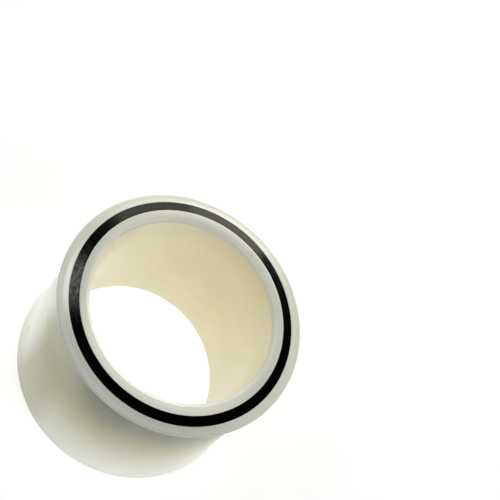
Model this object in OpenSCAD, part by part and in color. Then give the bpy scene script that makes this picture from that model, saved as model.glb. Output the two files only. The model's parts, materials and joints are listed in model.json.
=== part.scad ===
// Saddle tunnel for a stretched earlobe: one turned body with a dark ring let into its front face.
// It stands on its back face, its axis is Z and the inlaid face looks up.

/* [Flares] */
// Diameter of the front flare at its lip
front_d = 17; // [17:0.1:17.5]
// Overall height from the back face to the crown of the front face
length = 11.8; // [11.5:0.1:12.5]
// Radius that rounds the lip of the front flare
lip_round = 0.15; // [0.12:0.01:0.18]
// Diameter of the back flare at its rim
back_d = 16.5; // [16.5:0.05:16.8]
// Radius that rounds the rim of the back flare
back_round = 0.2; // [0.15:0.01:0.25]
// Radius of the short sweep from the saddle out to the back rim
back_sweep = 3; // [2:0.5:6]

/* [Saddle] */
// Diameter at the waist, where the earlobe sits (the gauge)
waist_d = 16.1; // [15.9:0.05:16.1]
// Height of the waist above the back face
waist_z = 5.7; // [5.4:0.1:6]
// Radius of the long hollow curve between the two flares
saddle_curve = 90; // [80:5:120]
// Radius of the fillet under the front lip
lip_fillet = 0.12; // [0.1:0.01:0.14]

/* [Bore] */
// Diameter of the straight bore
bore_d = 12.7; // [12.2:0.1:12.9]
// Radius that rounds the front mouth of the bore
mouth_round = 0.35; // [0.25:0.01:0.4]
// Radius that eases the back edge of the bore
bore_back_round = 0.1; // [0.05:0.01:0.15]

/* [Front face] */
// Diameter of the circle along the crown of the domed face
crown_d = 13.8; // [13.6:0.1:13.9]
// Radius of the dome, seen in section
dome_curve = 4.3; // [3.8:0.1:4.8]

/* [Inlay] */
// Inner diameter of the groove for the inlay
groove_in_d = 14.3; // [14.1:0.05:14.4]
// Outer diameter of the groove for the inlay
groove_out_d = 15.6; // [15.4:0.05:15.7]
// Depth of the groove below the crown
groove_depth = 1; // [0.7:0.05:1.2]
// Gap between the inlay and each side of the groove
inlay_gap = 0.03; // [0.02:0.01:0.05]

/* [Hidden] */
$fn = 120;

front_r = front_d / 2;
bore_r = bore_d / 2;
waist_r = waist_d / 2;
above = length + 1;

// How far an arc reaches past the one it runs into, so that the two cross and leave no sliver
bite = 0.002;

// Centre of the dome's arc in the section
dome_c = [crown_d / 2, length - dome_curve];

// Centre of a rounding arc that meets the dome from inside, at a given distance from the axis
function under_dome(r, x) =
    [x, dome_c.y + sqrt(pow(dome_curve - r + bite, 2) - pow(x - dome_c.x, 2))];

// Point on the line from one centre through another, at a given distance from the first
function beyond(c, through, r) = c + (through - c) * r / norm(through - c);

// Upper of the two points that lie r1 from c1 and r2 from c2, where c1 is left of c2
function meet(c1, r1, c2, r2) =
    let (
        gap = norm(c2 - c1),
        along = (r1 * r1 - r2 * r2 + gap * gap) / (2 * gap),
        off = sqrt(r1 * r1 - along * along),
        u = (c2 - c1) / gap
    )
    c1 + along * u + off * [-u.y, u.x];

lip_c = under_dome(lip_round, front_r - lip_round);
lip_touch = beyond(dome_c, lip_c, dome_curve);
lip_under = lip_c.y - lip_round + bite;

mouth_c = under_dome(mouth_round, bore_r + mouth_round);
mouth_touch = beyond(dome_c, mouth_c, dome_curve);

// Centre of the saddle's arc, outside the body
saddle_c = [waist_r + saddle_curve, waist_z];

// Centre of the fillet under the lip, whose arc runs on into the saddle's
fillet_y = lip_under - lip_fillet + bite;
fillet_c = [
    saddle_c.x - sqrt(pow(saddle_curve - lip_fillet + bite, 2) - pow(fillet_y - saddle_c.y, 2)),
    fillet_y
];
fillet_touch = beyond(saddle_c, fillet_c, saddle_curve);

// Centres of the back rim's arc and of the sweep that joins it to the saddle
rim_c = [back_d / 2 - back_round, back_round];
sweep_c = meet(rim_c, back_sweep + back_round - bite, saddle_c, saddle_curve - back_sweep + bite);
sweep_touch = beyond(saddle_c, sweep_c, saddle_curve);

module arc_at(c, r) {
    translate(c) circle(r);
}

// What the saddle, the back sweep and the fillet under the lip take out of the wall
module saddle_cut() {
    intersection() {
        arc_at(saddle_c, saddle_curve, $fn = 720);
        translate([bore_r, sweep_touch.y]) square([front_r, fillet_touch.y - sweep_touch.y]);
    }
    arc_at(sweep_c, back_sweep);
    arc_at(fillet_c, lip_fillet);
    translate([fillet_c.x, waist_z]) square([front_r, lip_under - waist_z]);
}

// Wall between the back face and the underside of the front lip
module wall_section() {
    back_bore_c = [bore_r + bore_back_round, bore_back_round];
    difference() {
        union() {
            polygon([
                [bore_r, bore_back_round],
                back_bore_c,
                [back_bore_c.x, 0],
                [rim_c.x, 0],
                rim_c,
                sweep_c,
                [lip_c.x, lip_under],
                [bore_r, lip_under]
            ]);
            arc_at(rim_c, back_round);
        }
        saddle_cut();
    }
    arc_at(back_bore_c, bore_back_round);
}

// Domed head with its rounded lip and bore mouth
module head_section() {
    intersection() {
        arc_at(dome_c, dome_curve, $fn = 240);
        polygon([
            [mouth_c.x, lip_under],
            mouth_c,
            mouth_touch,
            [mouth_touch.x, above],
            [lip_touch.x, above],
            lip_touch,
            lip_c,
            [lip_c.x, lip_under]
        ]);
    }
    translate([bore_r, lip_under]) square([mouth_round, mouth_c.y - lip_under]);
    arc_at(mouth_c, mouth_round);
    arc_at(lip_c, lip_round);
}

// Upright band between two diameters, from the groove's floor up past the crown
module band(inner_d, outer_d) {
    translate([inner_d / 2, length - groove_depth]) square([(outer_d - inner_d) / 2, groove_depth + 1]);
}

module tunnel_body() {
    color("#e8e5d6") rotate_extrude() difference() {
        union() {
            wall_section();
            head_section();
        }
        band(groove_in_d, groove_out_d);
    }
}

module inlay_ring() {
    color("#161513") rotate_extrude() intersection() {
        arc_at(dome_c, dome_curve, $fn = 240);
        band(groove_in_d + 2 * inlay_gap, groove_out_d - 2 * inlay_gap);
    }
}

tunnel_body();
inlay_ring();
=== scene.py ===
# A turned bone tunnel for a stretched earlobe, with a horn ring let into its front face.

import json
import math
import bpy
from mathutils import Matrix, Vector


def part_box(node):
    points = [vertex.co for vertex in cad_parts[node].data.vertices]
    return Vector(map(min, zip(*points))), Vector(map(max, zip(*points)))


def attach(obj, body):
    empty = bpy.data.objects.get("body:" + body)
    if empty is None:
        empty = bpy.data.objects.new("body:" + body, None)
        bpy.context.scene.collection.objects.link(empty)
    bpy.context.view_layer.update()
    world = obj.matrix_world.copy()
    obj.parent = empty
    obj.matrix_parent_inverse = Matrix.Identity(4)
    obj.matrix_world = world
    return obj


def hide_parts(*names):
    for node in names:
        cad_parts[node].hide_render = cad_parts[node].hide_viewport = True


bl_info = {
    "name": "Inlaid Ear Tunnel",
    "version": (1, 0, 0),
    "blender": (4, 5, 0),
    "location": "3D View > Sidebar > Ear Tunnel",
    "description": "Turns a bone ear tunnel with a horn inlay and lights it on a pale table",
    "category": "Add Mesh",
}

import bpy
from mathutils import Matrix, Vector

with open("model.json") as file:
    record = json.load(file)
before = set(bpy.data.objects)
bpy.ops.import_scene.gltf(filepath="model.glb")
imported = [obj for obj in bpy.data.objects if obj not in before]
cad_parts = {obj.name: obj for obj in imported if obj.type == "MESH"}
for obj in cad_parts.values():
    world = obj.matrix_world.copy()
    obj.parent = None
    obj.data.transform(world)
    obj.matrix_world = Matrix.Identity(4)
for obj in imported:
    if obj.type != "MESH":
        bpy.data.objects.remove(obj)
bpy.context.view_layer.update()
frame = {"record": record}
BODY_LOW, BODY_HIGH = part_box("tunnel_body")
RING_LOW, RING_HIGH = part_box("inlay_ring")
MOUNTS = {mount["name"]: mount for mount in frame["record"]["mounts"]}

MM = 0.001
SEGMENTS = 320
MERGE_DISTANCE = 0.001 * MM
SMOOTH_ANGLE = math.radians(35)
EASE_MARGIN = 1.1
TABLE_SIZE = 3.0
SOFTBOX_DISTANCE = 0.3
ROOM_LIGHT = 0.01
SENSOR_WIDTH = 36.0
CLIP_START = 1 * MM
CLIP_END = 10.0

# Tones by direction: azimuth, then how far from it the tone ends and is full, in degrees. All but the horn's
# worn patch place painted light, painted shade or a painted reflection
# Painted light and shade on the face: the land painted lighter towards the far and near sides, the band
# painted lighter on the far side and greyer on the near side
CREAM_LAND = (133, 60, 32)
PALE_LAND = (285, 75, 30)
PALE_BAND = (123, 62, 34)
GREY_BAND = (280, 68, 28)
# Painted highlight: a light streak on the band next to the inlay, on the left
LIGHT_STREAK = (211, 24, 4)
# Painted shade: the near side of the outer wall, nearly black right under the lip
FRONT = (305, 55, 25)
# Painted shade: a stretch of the near left of the outer wall, painted darker and olive
SHADED_SIDE = (235, 28, 3)
# Painted highlight: the left flank of the outer wall, kept paler where light catches it
FLANK = (200, 33, 16)
# Painted reflection: a short thin dark line on the left of the outer wall
DARK_STREAK = (232, 15, 6)
# Where the painted warm tone of the bore ends crisply at the mouth
CRISP_MOUTH = (40, 75, 35)
WORN = (213, 27, 15)

# Shares of the height at which the outer wall has each of its tones, from the back flare up. These tones are
# painted shade, darker and more olive towards the lip, and a painted highlight on the bright flank
SIDE_STOPS = (0.08, 0.3, 0.56, 0.82)
FRONT_STOPS = (0.08, 0.3, 0.56, 0.76, 0.9)
SHADED_SIDE_STOPS = (0.1, 0.6, 0.85)
FLANK_STOPS = (0.08, 0.3, 0.8)

# Where one tone gives way to the next: distances from the edge that each is measured from
# The first two distances set how far out from the bore the painted highlight of the mouth reaches
MOUTH_FADE = (0.15 * MM, 0.5 * MM)
BORE_FADE = (0.02 * MM, 0.3 * MM)
SOFT_TOP_FADE = (1.2 * MM, 0.15 * MM)
CRISP_TOP_FADE = (0.5 * MM, 0.2 * MM)
WALL_FADE = (0.4 * MM, 0.1 * MM)
LIP_FADE = 0.1 * MM
# Painted highlight streak on the band: how far it reaches in from the crease and out past it
LIGHT_STREAK_INSIDE = 0.15 * MM
LIGHT_STREAK_OUTSIDE = 0.05 * MM
# How far up and down the painted dark reflection line fades
DARK_STREAK_FADE = (0.05 * MM, 0.5 * MM)

# The thin darker line on the outer wall, a painted reflection of the edge of something dark: its height, and
# how much of the darker tone it has
DARK_STREAK_Z = 7.8 * MM
DARK_STREAK_SHARE = 0.4

# Scale and detail of each noise, and the part of its output that is stretched to the full range
WARMTH_NOISE = (70, 1)
CLOUD_NOISE = (300, 3)
GLOSS_NOISE = (400, 2)
POLISH_NOISE = (1500, 4)
FLECK_NOISE = (6500, 3, (1.0, 0.5, 1.0))
SCRATCH_NOISE = (2500, 2, (1.0, 0.12, 1.0))
NOISE_RANGE = (0.3, 0.7)
FLECK_RANGE = (0.42, 0.6)
SCRATCH_DEPTH = 0.007 * MM

MARKS = (
    # place, half sizes along the axes, how much light the mark keeps
    ((0.66 * MM, 6.72 * MM, 11.8 * MM), (0.09 * MM, 0.07 * MM, 0.3 * MM), 0.6),
    ((-6.82 * MM, -4.41 * MM, 2.17 * MM), (0.3 * MM, 0.3 * MM, 0.22 * MM), 0.75),
    ((6.02 * MM, -5.48 * MM, 9.63 * MM), (0.2 * MM, 0.2 * MM, 0.12 * MM), 0.85),
)
CORE_RADIUS = 7 * MM
CORE_EDGE = 0.5 * MM
CORE_TINT = (0.93, 0.98, 1.16)
GLOWS = (
    # centre on the floor, half sizes, strength, share of the half sizes that has all of it
    ((6 * MM, 12 * MM), (38 * MM, 38 * MM), 0.48, 0.86),  # the pool round the object
    ((0, 0), (CORE_RADIUS, CORE_RADIUS), 0.14, 0.93),  # under the bore
    ((-5 * MM, -15 * MM), (24 * MM, 24 * MM), 0.09, 0.5),  # the near side
    ((0, 54 * MM), (26 * MM, 26 * MM), 0.5, 0.6),  # the far side
    ((5.5 * MM, -9.5 * MM), (6 * MM, 6 * MM), 0.17, 0.0),  # beside the near right of the rim
    ((-15 * MM, -3 * MM), (6 * MM, 3.6 * MM), 0.8, 0.7),  # beside the bright flank
)

WHITE = (1.0, 1.0, 1.0)
WARM_WHITE = (1.0, 0.99, 0.76)
DIM_WARM_WHITE = (1.0, 1.0, 0.9)
SOFTBOXES = (
    # name, azimuth and elevation of the light in degrees, width, height, watts, colour
    ("back_low_left", 135, 12.5, 0.243, 0.13, 0.195, WHITE),
    ("back_low", 90, 12.5, 0.243, 0.13, 0.512, WHITE),
    ("back_low_right", 45, 12.5, 0.243, 0.13, 0.109, WHITE),
    ("left_side", 180, 37.5, 0.197, 0.13, 0.173, WHITE),
    ("front_left", 225, 37.5, 0.197, 0.13, 0.090, WHITE),
    ("front_right", 315, 37.5, 0.197, 0.13, 0.081, WHITE),
    ("right_side", 0, 37.5, 0.197, 0.13, 0.232, WHITE),
    ("over_camera", 270, 62.5, 0.115, 0.13, 0.141, WHITE),
    ("far_strip", 97, 31, 0.1, 0.10, 0.064, WARM_WHITE),
    ("far_strip_end", 118, 38.5, 0.082, 0.07, 0.0225, DIM_WARM_WHITE),
    ("far_strip_fade", 129.5, 45, 0.0185, 0.07, 0.0015, DIM_WARM_WHITE),
    ("far_strip_tail", 135.5, 49.5, 0.024, 0.065, 0.0003, DIM_WARM_WHITE),
    ("small_patch", 151, 61.5, 0.042, 0.062, 0.026, DIM_WARM_WHITE),
)


def size_prop(name, description, default):
    """A length in metres, shown in the scene's own units."""
    return bpy.props.FloatProperty(
        name=name, description=description, default=default, min=0.0, precision=6, unit="LENGTH"
    )


def colour_prop(name, description, default):
    """A colour as Blender's own swatch, in linear values."""
    return bpy.props.FloatVectorProperty(
        name=name, description=description, default=default, size=3, min=0.0, max=1.0, subtype="COLOR"
    )


class TunnelSizes(bpy.types.PropertyGroup):
    front_r: size_prop("Front Radius", "Radius of the front flare at its lip", BODY_HIGH.x)
    length: size_prop("Length", "Height from the back face to the crown", BODY_HIGH.z)
    lip_round: size_prop("Lip Rounding", "Radius that rounds the front lip", 0.13 * MM)
    lip_z: size_prop("Lip Height", "Height of the widest part of the front lip", 11.37 * MM)
    back_r: size_prop("Back Radius", "Radius of the back flare at its rim", 8.25 * MM)
    back_round: size_prop("Back Rounding", "Radius that rounds the back rim", 0.2 * MM)
    back_sweep: size_prop("Back Sweep", "Radius of the sweep out to the back rim", 3 * MM)
    waist_r: size_prop("Waist Radius", "Radius at the waist of the saddle", 8.05 * MM)
    waist_z: size_prop("Waist Height", "Height of the waist", MOUNTS["ear_saddle"]["pos_m"][2])
    saddle_curve: size_prop("Saddle Curve", "Radius of the hollow curve of the saddle", 90 * MM)
    lip_fillet: size_prop("Lip Fillet", "Radius of the fillet under the front lip", 0.12 * MM)
    bore_r: size_prop("Bore Radius", "Radius of the straight bore", MOUNTS["bore"]["dims"]["r_mm"] * MM)
    mouth_round: size_prop("Mouth Rounding", "Radius that rounds the front mouth of the bore", 0.35 * MM)
    back_bore_round: size_prop("Back Edge", "Radius that eases the back edge of the bore", 0.1 * MM)
    crown_r: size_prop("Crown Radius", "Distance of the face's crown from the axis", 6.75 * MM)
    crown_curve: size_prop("Crown Curve", "Radius of the crown in section", 1.77 * MM)
    face_slope: bpy.props.FloatProperty(
        name="Face Slope", description="Fall of the face outside its crown",
        default=math.radians(13.1), subtype="ANGLE",
    )
    groove_in_r: size_prop("Groove Inside", "Inner radius of the groove", 7.137 * MM)
    groove_out_r: size_prop("Groove Outside", "Outer radius of the groove", 7.806 * MM)
    groove_floor: size_prop("Groove Floor", "Height of the groove's floor", RING_LOW.z)
    seam: size_prop("Seam", "Gap between the ring and each side of its groove", 0.008 * MM)
    crease_r: size_prop("Crease Radius", "Where the face meets the band along the lip", 8.12 * MM)
    edge_ease: size_prop("Edge Ease", "Radius that eases the edges at the seam", 0.015 * MM)
    inlay_oval: size_prop("Inlay Oval", "How far the inlay's longest radius is over its mean", 0.047 * MM)
    oval_turn: bpy.props.FloatProperty(
        name="Oval Turn", description="Direction of the inlay's longest diameter",
        default=math.radians(135), subtype="ANGLE",
    )


class TunnelColours(bpy.types.PropertyGroup):
    bone: colour_prop("Bone", "Main colour of the bone", (0.78, 0.79, 0.70))
    # Painted light and shade on the face: the land and band tones below are lighter or darker by side, as the
    # light falls on them
    land_pale: colour_prop("Pale Land", "Bone of the face inside the inlay, near side", (0.94, 0.945, 0.83))
    land_cream: colour_prop("Cream Land", "Bone of the face inside the inlay, far side", (0.80, 0.80, 0.68))
    land_plain: colour_prop(
        "Plain Land", "Bone of the face inside the inlay, at the sides", (0.70, 0.72, 0.64)
    )
    band_grey: colour_prop("Grey Band", "Bone of the face outside the inlay, near side", (0.66, 0.665, 0.60))
    band_pale: colour_prop("Pale Band", "Bone of the face outside the inlay, far side", (0.92, 0.92, 0.80))
    # Painted highlight: the light streak on the band at the left
    band_light: colour_prop("Light Band", "Bone of the face outside the inlay, left side", (0.95, 0.96, 0.90))
    # Painted light: a warm tone in the bore standing in for light bounced round inside it
    bore_bounce_warmth: colour_prop("Warm Bone", "Colour of the bone inside the bore", (0.93, 0.85, 0.56))
    # Painted highlight: a lighter tone along the rounded mouth of the bore, where light catches its rounding
    mouth: colour_prop("Mouth", "Bone at the rounded mouth of the bore", (0.83, 0.84, 0.73))
    # Painted shade: the outer wall's tones darken and turn olive up towards the lip, which shades it
    side_low: colour_prop("Low Side", "Saddle just above the back flare", (0.88, 0.88, 0.78))
    side_mid: colour_prop("Middle Side", "Saddle a third of the way up", (0.76, 0.76, 0.57))
    side_olive: colour_prop("Olive Side", "Saddle past the middle", (0.60, 0.605, 0.36))
    side_top: colour_prop("Top Side", "Saddle under the lip", (0.43, 0.435, 0.27))
    # Painted shade, deeper on the near side and nearly black right under the lip
    front_low: colour_prop("Low Front", "Near side, just above the back flare", (0.94, 0.94, 0.84))
    front_mid: colour_prop("Middle Front", "Near side, a third of the way up", (0.80, 0.80, 0.62))
    front_olive: colour_prop("Olive Front", "Near side, past the middle", (0.50, 0.505, 0.28))
    front_high: colour_prop("High Front", "Near side, below the lip", (0.25, 0.25, 0.145))
    front_top: colour_prop("Top Front", "Near side, right under the lip", (0.14, 0.14, 0.09))
    # Painted shade on a stretch of the near left of the outer wall
    shaded_side_low: colour_prop("Low Stain", "Stained side, just above the back flare", (0.62, 0.62, 0.46))
    shaded_side_olive: colour_prop("Olive Stain", "Stained side, past the middle", (0.47, 0.475, 0.255))
    shaded_side_top: colour_prop("Top Stain", "Stained side, under the lip", (0.50, 0.50, 0.33))
    # Painted highlight: the left flank of the outer wall, brightest a third of the way up
    flank_low: colour_prop("Low Flank", "Bright side, just above the back flare", (0.78, 0.78, 0.66))
    flank_mid: colour_prop("Middle Flank", "Bright side, a third of the way up", (0.93, 0.935, 0.86))
    flank_top: colour_prop("Top Flank", "Bright side, under the lip", (0.68, 0.685, 0.56))
    horn: colour_prop("Horn", "Colour of the horn ring", (0.0006, 0.0006, 0.0005))
    table: colour_prop("Table", "Colour of the table", (0.70, 0.70, 0.70))


class StudioView(bpy.types.PropertyGroup):
    elevation: bpy.props.FloatProperty(
        name="Elevation", description="Angle of the camera above the table",
        default=math.radians(56.142), subtype="ANGLE",
    )
    roll: bpy.props.FloatProperty(
        name="Roll", description="Turn of the camera about its own line of sight",
        default=math.radians(44.706), subtype="ANGLE",
    )
    distance: size_prop("Distance", "Distance from the camera to the middle of the front face", 85 * MM)
    aside: size_prop("Aside", "How far the view's centre lies right of the axis", 4.36 * MM)
    over: size_prop("Over", "How far the view's centre lies over the axis", 3.989 * MM)
    aim_z: size_prop("Aim Height", "Height on the axis that the view is measured from", 11.54 * MM)
    lens: bpy.props.FloatProperty(
        name="Focal Length", description="Focal length in millimetres", default=93.49, min=1.0
    )


# Outlines in section


def arc(centre, radius, start, end, steps):
    """Points (distance from the axis, height) along an arc, from one angle to another in degrees."""
    turns = [math.radians(start + (end - start) * i / steps) for i in range(steps + 1)]
    return [(centre[0] + radius * math.cos(t), centre[1] + radius * math.sin(t)) for t in turns]


def line(start, end, steps):
    """Points on a straight run, without its start."""
    shares = [i / steps for i in range(1, steps + 1)]
    return [(start[0] + (end[0] - start[0]) * s, start[1] + (end[1] - start[1]) * s) for s in shares]


def bearing(origin, target):
    """Angle in degrees of the line from one point of the section to another."""
    return math.degrees(math.atan2(target[1] - origin[1], target[0] - origin[0]))


def meet(c1, r1, c2, r2):
    """Upper of the two points that lie r1 from c1 and r2 from c2, where c1 is left of c2."""
    first, second = Vector(c1), Vector(c2)
    gap = (second - first).length
    along = (r1 * r1 - r2 * r2 + gap * gap) / (2 * gap)
    off = math.sqrt(r1 * r1 - along * along)
    ahead = (second - first) / gap
    return tuple(first + along * ahead + off * Vector((-ahead.y, ahead.x)))


def face_height(sizes, radius):
    """Height of the front face at a distance from the axis: flat, then a curved crown, then a cone."""
    turn = math.asin(min(max((radius - sizes.crown_r) / sizes.crown_curve, 0), math.sin(sizes.face_slope)))
    beyond = max(radius - sizes.crown_r - sizes.crown_curve * math.sin(turn), 0)
    return sizes.length - sizes.crown_curve * (1 - math.cos(turn)) - beyond * math.tan(turn)


def face_run(sizes, inner, outer, steps):
    """Points along the front face from one distance from the axis to another."""
    reach = [inner + (outer - inner) * i / steps for i in range(steps + 1)]
    return [(r, face_height(sizes, r)) for r in reach]


def body_outline(sizes):
    """Closed outline of the body in section, from the back edge of the bore up and round."""
    mouth_c = (sizes.bore_r + sizes.mouth_round, sizes.length - sizes.mouth_round)
    lip_c = (sizes.front_r - sizes.lip_round, sizes.lip_z)
    crease = (sizes.crease_r, face_height(sizes, sizes.crease_r))
    lip_under = lip_c[1] - sizes.lip_round
    saddle_c = (sizes.waist_r + sizes.saddle_curve, sizes.waist_z)
    fillet_z = lip_under - sizes.lip_fillet
    fillet_reach = math.sqrt((sizes.saddle_curve - sizes.lip_fillet) ** 2 - (fillet_z - sizes.waist_z) ** 2)
    fillet_c = (saddle_c[0] - fillet_reach, fillet_z)
    rim_c = (sizes.back_r - sizes.back_round, sizes.back_round)
    sweep_c = meet(
        rim_c, sizes.back_sweep + sizes.back_round, saddle_c, sizes.saddle_curve - sizes.back_sweep
    )
    edge_c = (sizes.bore_r + sizes.back_bore_round, sizes.back_bore_round)

    lip_away = math.dist(crease, lip_c)
    lip_turn = bearing(lip_c, crease) - math.degrees(math.acos(sizes.lip_round / lip_away))
    fillet_turn = bearing(saddle_c, fillet_c) % 360
    sweep_turn = bearing(saddle_c, sweep_c) % 360
    rim_turn = bearing(sweep_c, rim_c)

    points = line((sizes.bore_r, sizes.back_bore_round), (sizes.bore_r, mouth_c[1]), 40)
    points += arc(mouth_c, sizes.mouth_round, 180, 90, 16)[1:]
    points += face_run(sizes, mouth_c[0], sizes.groove_in_r - sizes.edge_ease, 10)[1:]
    points += eased_corner(sizes, sizes.groove_in_r, -1)
    points += line(points[-1], (sizes.groove_in_r, sizes.groove_floor), 3)
    points += line(points[-1], (sizes.groove_out_r, sizes.groove_floor), 2)
    points += eased_corner(sizes, sizes.groove_out_r, 1)
    points += face_run(sizes, sizes.groove_out_r + sizes.edge_ease, sizes.crease_r, 6)[1:]
    lip_arc = arc(lip_c, sizes.lip_round, lip_turn, -90, 16)
    points += line(points[-1], lip_arc[0], 4) + lip_arc[1:]
    points += arc(fillet_c, sizes.lip_fillet, 90, fillet_turn, 8)
    points += arc(saddle_c, sizes.saddle_curve, fillet_turn, sweep_turn, 64)[1:]
    points += arc(sweep_c, sizes.back_sweep, sweep_turn, rim_turn % 360, 12)[1:]
    points += arc(rim_c, sizes.back_round, rim_turn - 180, -90, 10)[1:]
    points += line(points[-1], (edge_c[0], 0), 12)
    points += arc(edge_c, sizes.back_bore_round, -90, -180, 6)[1:]
    return points


def eased_corner(sizes, radius, side):
    """Rounded edge where the face meets one wall of the groove, in the order of the body's outline."""
    ease = sizes.edge_ease
    centre = (radius + side * ease, face_height(sizes, radius + side * ease) - ease)
    if side < 0:
        return arc(centre, ease, 90, 0, 3)
    return arc(centre, ease, 180, 90, 3)


def ring_outline(sizes):
    """Closed outline of the horn ring in section, from the foot of its inner side up and round."""
    ease = sizes.edge_ease
    inner, outer = sizes.groove_in_r + sizes.seam, sizes.groove_out_r - sizes.seam
    inner_c = (inner + ease, face_height(sizes, inner + ease) - ease)
    outer_c = (outer - ease, face_height(sizes, outer - ease) - ease)
    points = [(inner, sizes.groove_floor)]
    points += line(points[-1], (inner, inner_c[1]), 4)
    points += arc(inner_c, ease, 180, 90, 4)[1:]
    points += face_run(sizes, inner_c[0], outer_c[0], 14)[1:]
    points += arc(outer_c, ease, 90, 0, 4)[1:]
    points += line(points[-1], (outer, sizes.groove_floor), 4)
    points += line(points[-1], points[0], 3)[:-1]
    return points


# Modelling steps


def clear_selection():
    """Leaves edit mode and selects nothing, so that the next operator acts on its own object only."""
    if bpy.context.mode != "OBJECT":
        bpy.ops.object.mode_set(mode="OBJECT")
    bpy.ops.object.select_all(action="DESELECT")


def turn_outline(name, outline, segments):
    """Extrudes one vertex along the outline, closes it and spins it about the vertical axis."""
    clear_selection()
    bpy.ops.mesh.primitive_plane_add(size=MM, location=(0, 0, 0))
    piece = bpy.context.object
    piece.name = piece.data.name = name
    bpy.ops.object.mode_set(mode="EDIT")
    bpy.ops.mesh.select_all(action="SELECT")
    bpy.ops.mesh.merge(type="CENTER")
    bpy.ops.transform.translate(value=(outline[0][0], 0, outline[0][1]))
    for here, there in zip(outline, outline[1:] + outline[:1]):
        step = (there[0] - here[0], 0, there[1] - here[1])
        bpy.ops.mesh.extrude_region_move(TRANSFORM_OT_translate={"value": step})
    bpy.ops.mesh.select_all(action="SELECT")
    bpy.ops.mesh.spin(steps=segments, angle=math.tau, center=(0, 0, 0), axis=(0, 0, 1))
    bpy.ops.mesh.select_all(action="SELECT")
    bpy.ops.mesh.remove_doubles(threshold=MERGE_DISTANCE)
    bpy.ops.mesh.normals_make_consistent(inside=False)
    bpy.ops.object.mode_set(mode="OBJECT")
    bpy.ops.object.shade_smooth_by_angle(angle=SMOOTH_ANGLE)
    return piece


def settle_inlay(piece, sizes):
    """Makes the edges of the inlay and its groove slightly oval."""
    margin = EASE_MARGIN * sizes.edge_ease
    low, high = sizes.groove_in_r - margin, sizes.groove_out_r + margin
    clear_selection()
    bpy.context.view_layer.objects.active = piece
    piece.select_set(True)
    bpy.ops.object.mode_set(mode="EDIT")
    bpy.ops.mesh.select_all(action="DESELECT")
    bpy.ops.object.mode_set(mode="OBJECT")
    for vertex in piece.data.vertices:
        vertex.select = vertex.co.z > sizes.groove_floor - sizes.seam and low < vertex.co.xy.length < high
    bpy.ops.object.mode_set(mode="EDIT")
    middle = (0, 0, 0)
    share = sizes.inlay_oval / sizes.groove_in_r
    bpy.ops.transform.rotate(value=sizes.oval_turn, orient_axis="Z", center_override=middle)
    bpy.ops.transform.resize(value=(1 + share, 1 - share, 1), center_override=middle)
    bpy.ops.transform.rotate(value=-sizes.oval_turn, orient_axis="Z", center_override=middle)
    bpy.ops.object.mode_set(mode="OBJECT")


def hand_in(piece, material, node):
    """Gives a finished piece its material and its place in the frame."""
    piece.data.materials.append(material)
    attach(piece, "root")
    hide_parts(node)


# Materials


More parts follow.
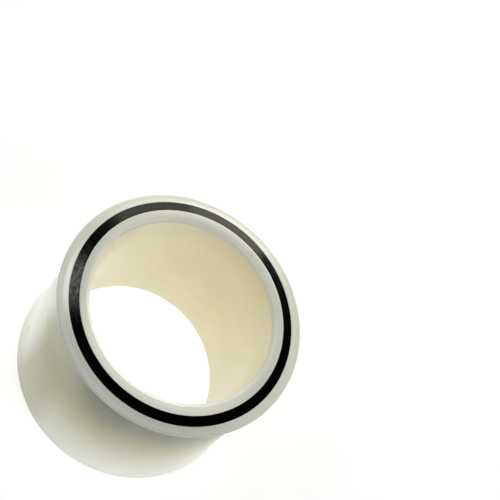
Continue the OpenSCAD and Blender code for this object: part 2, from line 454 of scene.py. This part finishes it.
class Shader:
    """A short way to add and join the nodes of one material."""

    def __init__(self, name):
        self.material = bpy.data.materials.new(name)
        self.material.use_nodes = True
        self.tree = self.material.node_tree
        self.surface = self.tree.nodes["Principled BSDF"]

    def add(self, kind, **settings):
        node = self.tree.nodes.new(kind)
        for key, value in settings.items():
            setattr(node, key, value)
        return node

    def join(self, output, target):
        self.tree.links.new(output, target)

    def place(self, scale=(1, 1, 1)):
        """Object coordinates, stretched by a scale."""
        where = self.add("ShaderNodeTexCoord")
        mapping = self.add("ShaderNodeMapping")
        mapping.inputs["Scale"].default_value = scale
        self.join(where.outputs["Object"], mapping.inputs["Vector"])
        return mapping.outputs["Vector"]

    def noise(self, scale, detail, stretch=(1, 1, 1)):
        """A cloudy value, stretched along the axes by a scale."""
        node = self.add("ShaderNodeTexNoise")
        node.inputs["Scale"].default_value = scale
        node.inputs["Detail"].default_value = detail
        self.join(self.place(stretch), node.inputs["Vector"])
        return node.outputs["Fac"]

    def span(self, value, low, high, to_low=0.0, to_high=1.0, smooth=False):
        """A value stretched from one range to another, and held at its ends."""
        node = self.add("ShaderNodeMapRange", clamp=True)
        node.interpolation_type = "SMOOTHSTEP" if smooth else "LINEAR"
        self.join(value, node.inputs["Value"])
        node.inputs["From Min"].default_value = low
        node.inputs["From Max"].default_value = high
        node.inputs["To Min"].default_value = to_low
        node.inputs["To Max"].default_value = to_high
        return node.outputs["Result"]

    def calculate(self, operation, first, second=0.0):
        """The result of one operation on two values, each a socket or a number."""
        node = self.add("ShaderNodeMath", operation=operation)
        for socket, value in zip(node.inputs, (first, second)):
            if isinstance(value, (int, float)):
                socket.default_value = value
            else:
                self.join(value, socket)
        return node.outputs["Value"]

    def blend(self, share, first, second):
        """A mix of two colours, each a socket or three numbers."""
        node = self.add("ShaderNodeMix", data_type="RGBA")
        self.join(share, node.inputs["Factor"])
        for socket, value in zip((node.inputs[6], node.inputs[7]), (first, second)):
            if isinstance(value, bpy.types.NodeSocket):
                self.join(value, socket)
            else:
                socket.default_value = (*value, 1.0)
        return node.outputs[2]

    def ramp(self, value, stops, tones):
        """A run of colours along a value from 0 to 1, one at each stop."""
        node = self.add("ShaderNodeValToRGB")
        while len(node.color_ramp.elements) < len(stops):
            node.color_ramp.elements.new(1.0)
        for element, place, colour in zip(node.color_ramp.elements, stops, tones):
            element.position = place
            element.color = (*colour, 1.0)
        self.join(value, node.inputs["Fac"])
        return node.outputs["Color"]

    def bump(self, height, distance):
        """Normals of a surface raised by a value from 0 to 1 times a distance."""
        node = self.add("ShaderNodeBump")
        node.inputs["Distance"].default_value = distance
        self.join(height, node.inputs["Height"])
        return node.outputs["Normal"]

    def toward(self, reach, azimuth, none, full):
        """1 within an angle of a direction from the axis, and 0 past a wider one, in degrees."""
        turn = math.radians(azimuth)
        along = self.add("ShaderNodeVectorMath", operation="DOT_PRODUCT")
        self.join(self.place(), along.inputs[0])
        along.inputs[1].default_value = (math.cos(turn), math.sin(turn), 0)
        facing = self.calculate("DIVIDE", along.outputs["Value"], reach)
        return self.span(facing, math.cos(math.radians(none)), math.cos(math.radians(full)), smooth=True)

    def distance_to(self, place, scale=(1, 1, 1)):
        """Distance from a place, counted in other units along each axis by a scale."""
        away = self.add("ShaderNodeVectorMath", operation="DISTANCE")
        self.join(self.place(scale), away.inputs[0])
        away.inputs[1].default_value = [part * unit for part, unit in zip(place, scale)]
        return away.outputs["Value"]

    def height_and_reach(self):
        """Sockets for the height above the table and the distance from the axis."""
        parts = self.add("ShaderNodeSeparateXYZ")
        self.join(self.place(), parts.inputs["Vector"])
        across = (parts.outputs["X"], parts.outputs["Y"])
        squares = [self.calculate("MULTIPLY", part, part) for part in across]
        reach = self.calculate("SQRT", self.calculate("ADD", *squares))
        return parts.outputs["Z"], reach


def bone_material(sizes, colours):
    """Polished bone with painted light in its colour: lighter and darker tones by direction on the face, a
    warm tone in the bore standing in for bounced light, and painted shade, darker and more olive, up the
    outer wall.
    """
    shader = Shader("polished_bone")
    surface = shader.surface
    height, reach = shader.height_and_reach()

    bone = face_tone(shader, sizes, colours, reach)
    outside = shader.span(reach, sizes.waist_r - WALL_FADE[0], sizes.waist_r - WALL_FADE[1])
    below_face = shader.span(height, sizes.lip_z - LIP_FADE, sizes.lip_z, 1.0, 0.0)
    on_wall = shader.calculate("MULTIPLY", outside, below_face)
    bone = shader.blend(on_wall, bone, wall_tone(shader, sizes, colours, height, reach))

    in_bore = bore_share(shader, sizes, height, reach)
    warmth = shader.span(shader.noise(*WARMTH_NOISE), *NOISE_RANGE, 0.7, 1.0, smooth=True)
    # Painted light: the warm tone in the bore stands in for light bounced round inside it
    bone = shader.blend(shader.calculate("MULTIPLY", in_bore, warmth), bone, colours.bore_bounce_warmth)

    cloud = shader.span(shader.noise(*CLOUD_NOISE), *NOISE_RANGE, 0.97, 1.03)
    for place, size, kept in MARKS:
        away = shader.distance_to(place, [1 / part for part in size])
        cloud = shader.calculate("MULTIPLY", cloud, shader.span(away, 0.5, 1.0, kept, 1.0, smooth=True))
    tinted = shader.add("ShaderNodeVectorMath", operation="SCALE")
    shader.join(bone, tinted.inputs[0])
    shader.join(cloud, tinted.inputs["Scale"])
    shader.join(tinted.outputs["Vector"], surface.inputs["Base Color"])
    gloss = shader.span(shader.noise(*GLOSS_NOISE), *NOISE_RANGE, 0.29, 0.34)
    shader.join(gloss, surface.inputs["Roughness"])
    surface.inputs["Specular IOR Level"].default_value = 0.2
    less_polished = shader.calculate("ADD", in_bore, on_wall)
    shader.join(shader.span(less_polished, 0, 1, 0.9, 0.25), surface.inputs["Coat Weight"])
    surface.inputs["Coat Roughness"].default_value = 0.09
    return shader.material


def face_tone(shader, sizes, colours, reach):
    """Bone of the front face: the land inside the inlay, and the band outside it, with painted light and
    shade by direction, a painted highlight along the mouth and a painted highlight streak on the band.
    """
    # Painted light and shade: the land lighter or darker by direction
    land = shader.blend(shader.toward(reach, *CREAM_LAND), colours.land_plain, colours.land_cream)
    land = shader.blend(shader.toward(reach, *PALE_LAND), land, colours.land_pale)
    # Painted highlight along the rounded mouth of the bore
    near, far = (sizes.bore_r + fade for fade in MOUTH_FADE)
    land = shader.blend(shader.span(reach, near, far, 1.0, 0.0, smooth=True), land, colours.mouth)

    # Painted light and shade: the band lighter on the far side and greyer on the near side
    band = shader.blend(shader.toward(reach, *PALE_BAND), colours.bone, colours.band_pale)
    band = shader.blend(shader.toward(reach, *GREY_BAND), band, colours.band_grey)
    # Painted highlight: a light streak on the band inside the crease, on the left
    inside, outside = sizes.crease_r - LIGHT_STREAK_INSIDE, sizes.crease_r + LIGHT_STREAK_OUTSIDE
    streak = shader.calculate(
        "MULTIPLY", shader.toward(reach, *LIGHT_STREAK), shader.span(reach, inside, outside, 1.0, 0.0)
    )
    band = shader.blend(streak, band, colours.band_light)
    return shader.blend(shader.span(reach, sizes.groove_in_r, sizes.groove_out_r), land, band)


def wall_tone(shader, sizes, colours, height, reach):
    """Bone of the outer wall with painted shade, darker and more olive towards the lip and nearly black under
    it on the near side, with a painted highlight on the left flank and a thin painted dark reflection line.
    """
    share = shader.span(height, 0, sizes.length)
    # Painted shade, darker and more olive up towards the lip
    wall = shader.ramp(
        share, SIDE_STOPS, (colours.side_low, colours.side_mid, colours.side_olive, colours.side_top)
    )
    front = shader.ramp(share, FRONT_STOPS, (
        colours.front_low, colours.front_mid, colours.front_olive, colours.front_high, colours.front_top,
    ))
    # Painted shade on a stretch of the near left of the outer wall
    side_shade = shader.ramp(share, SHADED_SIDE_STOPS, (colours.shaded_side_low, colours.shaded_side_olive, colours.shaded_side_top))
    # Painted highlight on the left flank
    flank = shader.ramp(share, FLANK_STOPS, (colours.flank_low, colours.flank_mid, colours.flank_top))
    for zone, tones in ((FRONT, front), (SHADED_SIDE, side_shade), (FLANK, flank)):
        wall = shader.blend(shader.toward(reach, *zone), wall, tones)
    # Painted reflection: a thin dark line round the left of the wall at one height
    off_line = shader.calculate("ABSOLUTE", shader.calculate("SUBTRACT", height, DARK_STREAK_Z))
    line_share = shader.span(off_line, *DARK_STREAK_FADE, DARK_STREAK_SHARE, 0.0, smooth=True)
    streak = shader.calculate("MULTIPLY", shader.toward(reach, *DARK_STREAK), line_share)
    return shader.blend(streak, wall, colours.side_top)


def bore_share(shader, sizes, height, reach):
    """1 in the bore and 0 outside it, with a softer end at the mouth except on the right."""
    near, far = (sizes.bore_r + fade for fade in BORE_FADE)
    in_bore = shader.span(reach, near, far, 1.0, 0.0, smooth=True)
    soft_top, crisp_top = (
        shader.span(height, sizes.length - low, sizes.length - high, 1.0, 0.0, smooth=True)
        for low, high in (SOFT_TOP_FADE, CRISP_TOP_FADE)
    )
    more = shader.calculate("SUBTRACT", crisp_top, soft_top)
    more = shader.calculate("MULTIPLY", shader.toward(reach, *CRISP_MOUTH), more)
    return shader.calculate("MULTIPLY", in_bore, shader.calculate("ADD", soft_top, more))


def horn_material(colours):
    """Black horn with a fine polish, and a worn patch with short scratches that run round the ring."""
    shader = Shader("polished_horn")
    surface = shader.surface
    surface.inputs["Base Color"].default_value = (*colours.horn, 1.0)
    reach = shader.height_and_reach()[1]
    worn = shader.span(shader.toward(reach, *WORN), 0, 1, 0.1, 1.0)
    flecks = shader.span(shader.noise(*FLECK_NOISE), *FLECK_RANGE, 0.0, 0.17)
    flecks = shader.calculate("MULTIPLY", flecks, worn)
    polish = shader.span(shader.noise(*POLISH_NOISE), *NOISE_RANGE, 0.085, 0.13)
    shader.join(shader.calculate("ADD", polish, flecks), surface.inputs["Roughness"])
    scratches = shader.calculate("MULTIPLY", shader.noise(*SCRATCH_NOISE), worn)
    shader.join(shader.bump(scratches, SCRATCH_DEPTH), surface.inputs["Normal"])
    return shader.material


def table_material(colours):
    """Pale table top that glows in soft patches round the object and is a plain matt grey past them."""
    shader = Shader("pale_table")
    surface = shader.surface
    surface.inputs["Base Color"].default_value = (*colours.table, 1.0)
    surface.inputs["Roughness"].default_value = 0.6
    from_axis = shader.distance_to((0, 0, 0))
    under_bore = shader.span(from_axis, CORE_RADIUS - CORE_EDGE, CORE_RADIUS, 1.0, 0.0, smooth=True)
    shader.join(shader.blend(under_bore, WHITE, CORE_TINT), surface.inputs["Emission Color"])
    glow = 0.0
    for (x, y), (wide, deep), strength, held in GLOWS:
        away = shader.distance_to((x, y, 0), (1 / wide, 1 / deep, 1))
        glow = shader.calculate("ADD", glow, shader.span(away, held, 1.0, strength, 0.0, smooth=True))
    shader.join(glow, surface.inputs["Emission Strength"])
    return shader.material


# Operators


class TUNNEL_OT_body(bpy.types.Operator):
    """Turn the bone body, hollow from end to end"""

    bl_idname = "tunnel.body"
    bl_label = "Bone Body"
    bl_options = {"REGISTER", "UNDO"}

    def execute(self, context):
        scene = context.scene
        sizes = scene.tunnel_sizes
        body = turn_outline("bone_body", body_outline(sizes), SEGMENTS)
        settle_inlay(body, sizes)
        hand_in(body, bone_material(sizes, scene.tunnel_colours), "tunnel_body")
        return {"FINISHED"}


class TUNNEL_OT_inlay(bpy.types.Operator):
    """Turn the horn ring that fills the groove of the front face"""

    bl_idname = "tunnel.inlay"
    bl_label = "Horn Inlay"
    bl_options = {"REGISTER", "UNDO"}

    def execute(self, context):
        scene = context.scene
        ring = turn_outline("horn_inlay", ring_outline(scene.tunnel_sizes), SEGMENTS)
        settle_inlay(ring, scene.tunnel_sizes)
        hand_in(ring, horn_material(scene.tunnel_colours), "inlay_ring")
        return {"FINISHED"}


class TUNNEL_OT_studio(bpy.types.Operator):
    """Add the table, the softboxes, the camera and the dim light of the room"""

    bl_idname = "tunnel.studio"
    bl_label = "Studio"
    bl_options = {"REGISTER", "UNDO"}

    def execute(self, context):
        scene = context.scene
        add_table(scene.tunnel_colours)
        for row in SOFTBOXES:
            add_softbox(*row)
        add_camera(scene, scene.studio_view)
        world = bpy.data.worlds.new("dim_room")
        world.use_nodes = True
        background = world.node_tree.nodes["Background"]
        background.inputs["Color"].default_value = (*WHITE, 1.0)
        background.inputs["Strength"].default_value = ROOM_LIGHT
        scene.world = world
        scene.view_settings.view_transform = "Standard"
        return {"FINISHED"}


def add_table(colours):
    clear_selection()
    bpy.ops.mesh.primitive_plane_add(size=TABLE_SIZE, location=(0, 0, 0))
    table = bpy.context.object
    table.name = table.data.name = "pale_table"
    table.data.materials.append(table_material(colours))


def add_softbox(name, azimuth, elevation, width, height, watts, colour):
    """A soft rectangular light that faces the middle of the front face."""
    aim = Vector((0, 0, BODY_HIGH.z))
    around, up = math.radians(azimuth), math.radians(elevation)
    toward = Vector((math.cos(up) * math.cos(around), math.cos(up) * math.sin(around), math.sin(up)))
    clear_selection()
    bpy.ops.object.light_add(
        type="AREA",
        location=aim + toward * SOFTBOX_DISTANCE,
        rotation=toward.to_track_quat("Z", "Y").to_euler(),
    )
    lamp = bpy.context.object
    lamp.name = lamp.data.name = name
    lamp.data.shape = "RECTANGLE"
    lamp.data.size = width
    lamp.data.size_y = height
    lamp.data.energy = watts
    lamp.data.color = colour


def add_camera(scene, view):
    """Camera at the photograph's angle, rolled so that the axis points up and to the right."""
    turn = Matrix.Rotation(math.pi / 2 - view.elevation, 3, "X") @ Matrix.Rotation(view.roll, 3, "Z")
    from_aim = turn @ Vector((view.aside, view.over, view.distance))
    clear_selection()
    bpy.ops.object.camera_add(
        location=Vector((0, 0, view.aim_z)) + from_aim, rotation=turn.to_euler()
    )
    camera = bpy.context.object
    camera.name = camera.data.name = "photo_camera"
    camera.data.sensor_width = SENSOR_WIDTH
    camera.data.lens = view.lens
    camera.data.clip_start = CLIP_START
    camera.data.clip_end = CLIP_END
    scene.camera = camera


class TUNNEL_PT_panel(bpy.types.Panel):
    bl_label = "Ear Tunnel"
    bl_idname = "TUNNEL_PT_panel"
    bl_space_type = "VIEW_3D"
    bl_region_type = "UI"
    bl_category = "Ear Tunnel"

    def draw(self, context):
        layout = self.layout
        for step in (TUNNEL_OT_body, TUNNEL_OT_inlay, TUNNEL_OT_studio):
            layout.operator(step.bl_idname)
        for group in (context.scene.tunnel_sizes, context.scene.tunnel_colours, context.scene.studio_view):
            column = layout.column()
            for name in group.__annotations__:
                column.prop(group, name)


CLASSES = (
    TunnelSizes,
    TunnelColours,
    StudioView,
    TUNNEL_OT_body,
    TUNNEL_OT_inlay,
    TUNNEL_OT_studio,
    TUNNEL_PT_panel,
)


def register():
    for cls in CLASSES:
        bpy.utils.register_class(cls)
    bpy.types.Scene.tunnel_sizes = bpy.props.PointerProperty(type=TunnelSizes)
    bpy.types.Scene.tunnel_colours = bpy.props.PointerProperty(type=TunnelColours)
    bpy.types.Scene.studio_view = bpy.props.PointerProperty(type=StudioView)


def unregister():
    del bpy.types.Scene.studio_view
    del bpy.types.Scene.tunnel_colours
    del bpy.types.Scene.tunnel_sizes
    for cls in reversed(CLASSES):
        bpy.utils.unregister_class(cls)


def main():
    register()
    bpy.ops.tunnel.studio()
    bpy.ops.tunnel.body()
    bpy.ops.tunnel.inlay()


if __name__ == "__main__":
    main()
